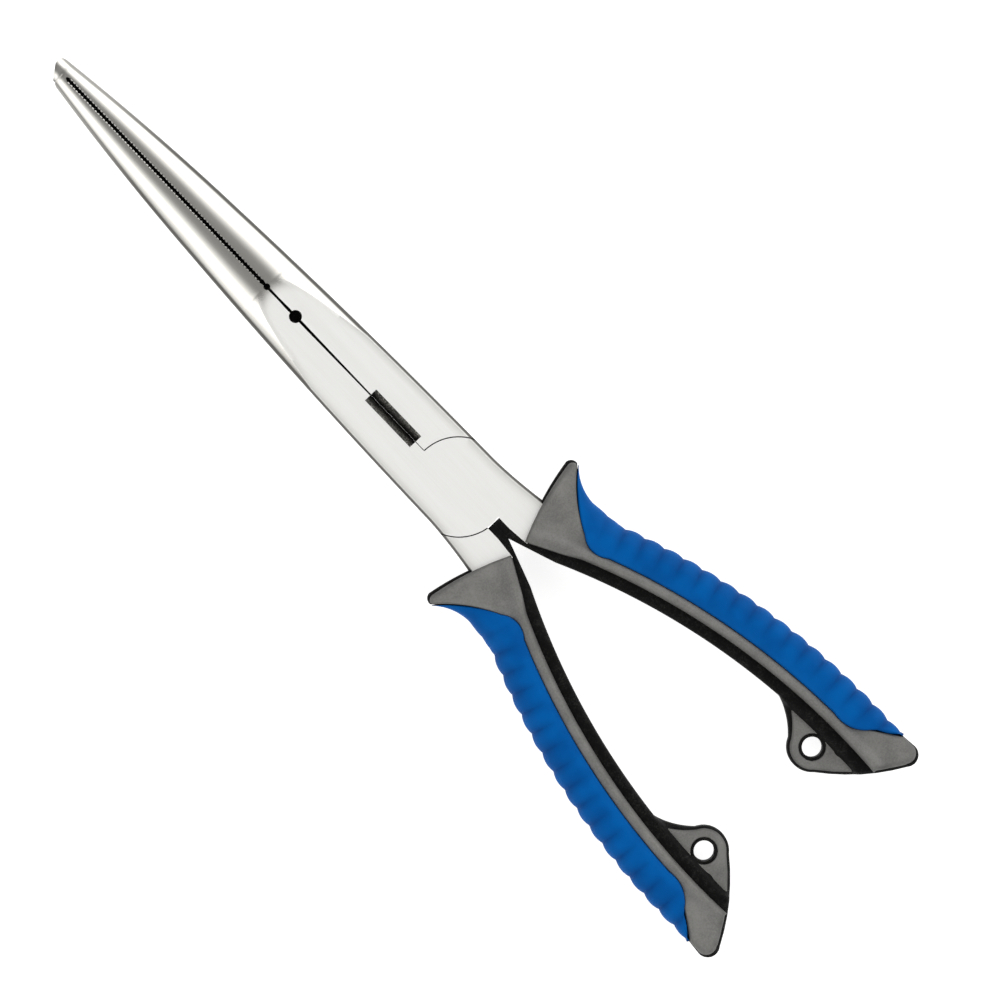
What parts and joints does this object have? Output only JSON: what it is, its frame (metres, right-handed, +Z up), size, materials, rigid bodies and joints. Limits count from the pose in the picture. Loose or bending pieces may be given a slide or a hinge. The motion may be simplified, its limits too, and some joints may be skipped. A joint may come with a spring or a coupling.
{
  "type": "fishing pliers",
  "caption": "Long-reach fishing pliers with a lap joint, serrated round nose, split ring tooth, side cutter and cushioned handles with lanyard holes.",
  "frame": {"origin": "middle of the overall box in X and Y, on the surface that the grips lie on", "axes": "+Y along the jaws to the tip, +Z up out of the front face, +X to the right handle"},
  "size_m": [0.0764, 0.2802, 0.0156],
  "materials": {
    "forged_steel": "brushed flats, polished nose",
    "rivet_steel": "ground flush",
    "cutter_carbide": "dark, finely ground",
    "core_plastic": "fine texture",
    "shell_plastic": "fine texture",
    "grip_rubber": "soft, satin"
  },
  "bodies": {
    "plain_half": {"plain_lever": "forged_steel", "pivot_rivet": "rivet_steel", "plain_cutter_blade": "cutter_carbide", "right_handle_core": "core_plastic", "right_handle_shell": "shell_plastic", "right_grip": "grip_rubber", "right_lanyard_cover": "shell_plastic"},
    "tooth_half": {"tooth_lever": "forged_steel", "tooth_cutter_blade": "cutter_carbide", "left_handle_core": "core_plastic", "left_handle_shell": "shell_plastic", "left_grip": "grip_rubber", "left_lanyard_cover": "shell_plastic"}
  },
  "joints": [
    {"name": "jaw_opening", "type": "hinge", "parent": "plain_half", "child": "tooth_half", "pos_m": [0, -0.0091, 0.0078], "axis": [0, 0, -1], "range_deg": [0, 50]}
  ]
}
